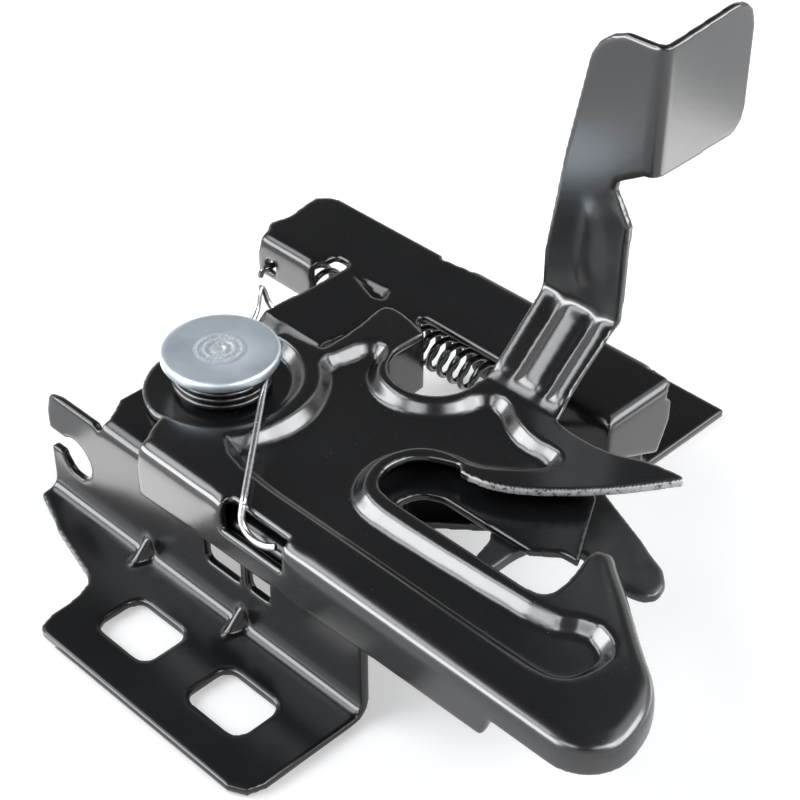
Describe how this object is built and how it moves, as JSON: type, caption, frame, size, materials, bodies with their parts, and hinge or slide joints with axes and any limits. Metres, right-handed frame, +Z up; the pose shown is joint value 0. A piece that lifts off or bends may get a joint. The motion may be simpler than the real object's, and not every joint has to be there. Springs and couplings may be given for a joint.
{
  "type": "bonnet latch",
  "caption": "Folded black sheet bonnet latch with a sprung safety lever and finger tab over a rotary catch, its pawl and an opening spring.",
  "frame": {"origin": "underside of the near wing, midway between its two bolt slots", "axes": "+Z up off the mounting face, +X along the striker slot towards its mouth, +Y from the near wing towards the far foot"},
  "size_m": [0.1712, 0.1601, 0.1173],
  "materials": {
    "black_sheet": "smooth glossy black electrocoat over pressed steel sheet",
    "dark_steel": "dark phosphated steel plate",
    "zinc": "bluish bright zinc plating",
    "bright_wire": "bright drawn spring wire",
    "dark_wire": "dark oiled spring wire"
  },
  "bodies": {
    "bracket": {"frame_plate": "black_sheet", "backing_plate": "black_sheet", "lever_pivot_rivet": "zinc", "lever_bush": "dark_steel", "lever_washer": "zinc", "lever_spring": "bright_wire", "catch_rivet": "zinc", "catch_bush": "dark_steel", "catch_washer": "zinc", "pawl_rivet": "zinc", "pawl_bush": "dark_steel", "pawl_washer": "zinc", "pawl_spring": "bright_wire", "main_spring": "dark_wire"},
    "lever": {"safety_lever": "black_sheet"},
    "catch_claw": {"catch": "dark_steel"},
    "release_pawl": {"pawl": "dark_steel"}
  },
  "joints": [
    {"name": "lever_swing", "type": "hinge", "parent": "bracket", "child": "lever", "pos_m": [-0.0347, 0.0421, 0.031], "axis": [0, 0, 1], "range_deg": [-14, 0], "stiffness_Nm_per_rad": 0.25, "springref_deg": 22.92, "deforming": ["lever_spring"]},
    {"name": "catch_turn", "type": "hinge", "parent": "bracket", "child": "catch_claw", "pos_m": [0.0313, 0.0691, 0.026], "axis": [0, 0, 1], "range_deg": [-50, 0], "stiffness_Nm_per_rad": 0.08, "springref_deg": 34.38, "deforming": ["main_spring"]},
    {"name": "pawl_release", "type": "hinge", "parent": "bracket", "child": "release_pawl", "pos_m": [0.0053, 0.0471, 0.026], "axis": [0, 0, 1], "range_deg": [0, 8], "stiffness_Nm_per_rad": 0.08, "springref_deg": -22.92, "deforming": ["pawl_spring"]}
  ]
}
